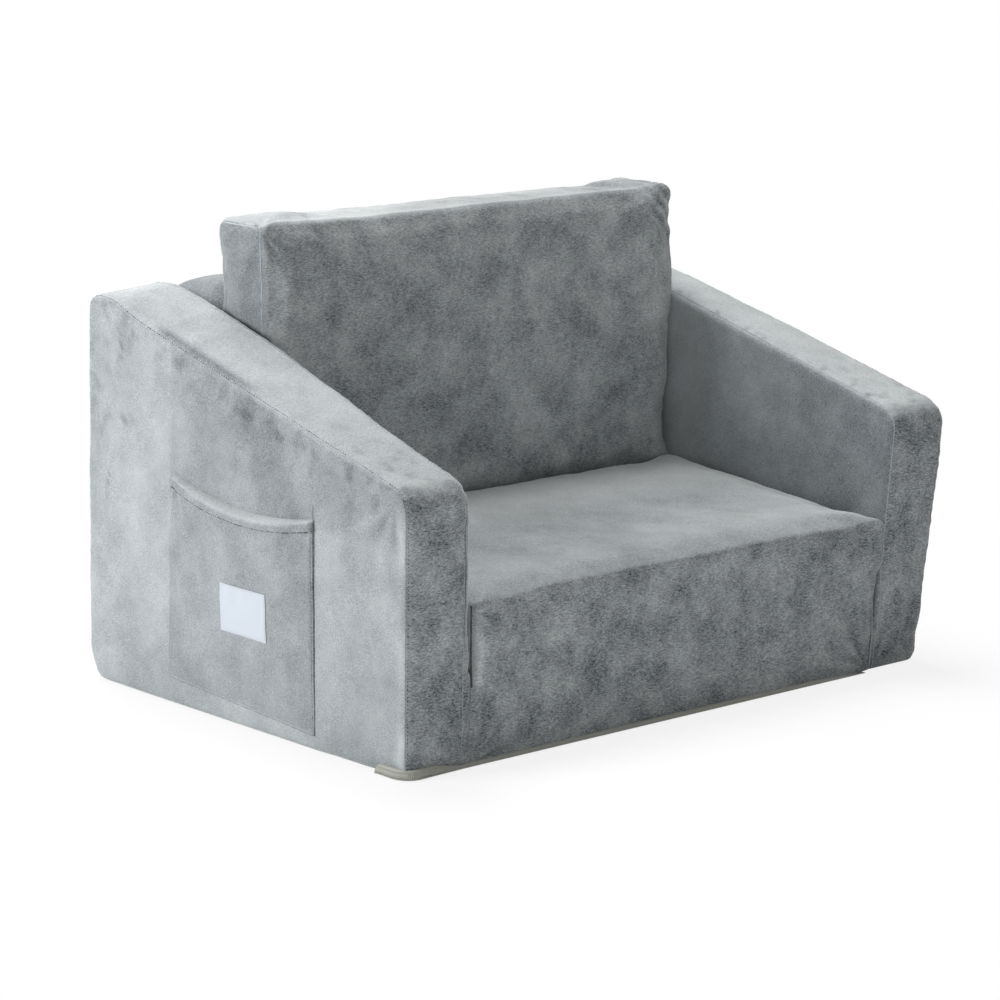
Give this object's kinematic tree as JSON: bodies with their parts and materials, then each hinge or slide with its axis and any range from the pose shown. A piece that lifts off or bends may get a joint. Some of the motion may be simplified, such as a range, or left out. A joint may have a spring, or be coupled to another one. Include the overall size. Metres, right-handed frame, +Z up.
{
  "type": "sofa bed",
  "caption": "Low foam sofa with sloped arms whose joined seat and back cushions flip out over the front into a bed.",
  "frame": {"origin": "on the floor, midway between the arms' outer seams and midway between the arms' front and rear faces", "axes": "+X to the right of someone who looks at the front, -Y out of the front, +Z up"},
  "size_m": [0.8227, 0.5409, 0.5184],
  "materials": {
    "velvet": "short-pile plush velvet, grey, with nap mottling",
    "lining": "ribbed olive-grey anti-slip lining",
    "foam": "open-cell upholstery foam, cream",
    "label": "plain white woven label, left blank",
    "zip_tape": "dark woven tape",
    "zip_teeth": "moulded acetal, dark",
    "zip_metal": "die-cast zinc, grey"
  },
  "bodies": {
    "shell": {"left_arm_cover": "velvet", "left_arm_foam": "foam", "right_arm_cover": "velvet", "right_arm_foam": "foam", "back_panel_cover": "velvet", "back_panel_foam": "foam", "base_cover": "velvet", "base_foam": "foam", "rear_step_foam": "foam", "bottom_panel": "lining", "pocket_panel": "velvet", "pocket_hem": "velvet", "pocket_label": "label", "front_hinge_seam": "velvet", "panel_zip_tape_upper": "zip_tape", "panel_zip_tape_lower": "zip_tape", "panel_zip_teeth_upper": "zip_teeth", "panel_zip_teeth_lower": "zip_teeth"},
    "seat": {"seat_cover": "velvet", "seat_foam": "foam", "seat_zip_tape_upper": "zip_tape", "seat_zip_tape_lower": "zip_tape", "seat_zip_teeth_upper": "zip_teeth", "seat_zip_teeth_lower": "zip_teeth", "crease_hinge_seam": "velvet"},
    "back": {"back_cushion_cover": "velvet", "back_cushion_foam": "foam", "back_zip_tape_upper": "zip_tape", "back_zip_tape_lower": "zip_tape", "back_zip_teeth_upper": "zip_teeth", "back_zip_teeth_lower": "zip_teeth"},
    "rear_slider": {"panel_zip_slider": "zip_metal"},
    "rear_pull": {"panel_zip_pull": "zip_metal"},
    "seat_slider": {"seat_zip_slider": "zip_metal"},
    "back_slider": {"back_zip_slider": "zip_metal"}
  },
  "joints": [
    {"name": "seat_flip", "type": "hinge", "parent": "shell", "child": "seat", "pos_m": [0, -0.268, 0.0953], "axis": [1, 0, 0], "range_deg": [0, 180]},
    {"name": "back_unfold", "type": "hinge", "parent": "seat", "child": "back", "pos_m": [0, 0.0749, 0.1801], "axis": [-1, 0, 0], "range_deg": [0, 88.5]},
    {"name": "rear_zip_slide", "type": "slide", "parent": "shell", "child": "rear_slider", "axis": [-1, 0, 0], "range_m": [0, 0.34]},
    {"name": "rear_pull_swing", "type": "hinge", "parent": "rear_slider", "child": "rear_pull", "pos_m": [0.1702, 0.267, 0.11], "axis": [0, 0, 1], "range_deg": [0, 150]},
    {"name": "seat_zip_slide", "type": "slide", "parent": "seat", "child": "seat_slider", "axis": [-1, 0, 0], "range_m": [0, 0.276]},
    {"name": "back_zip_slide", "type": "slide", "parent": "back", "child": "back_slider", "axis": [-1, 0, 0], "range_m": [0, 0.276]}
  ],
  "couplings": [
    {"joint": "back_unfold", "follows": "seat_flip", "ratio": 0.49167}
  ]
}
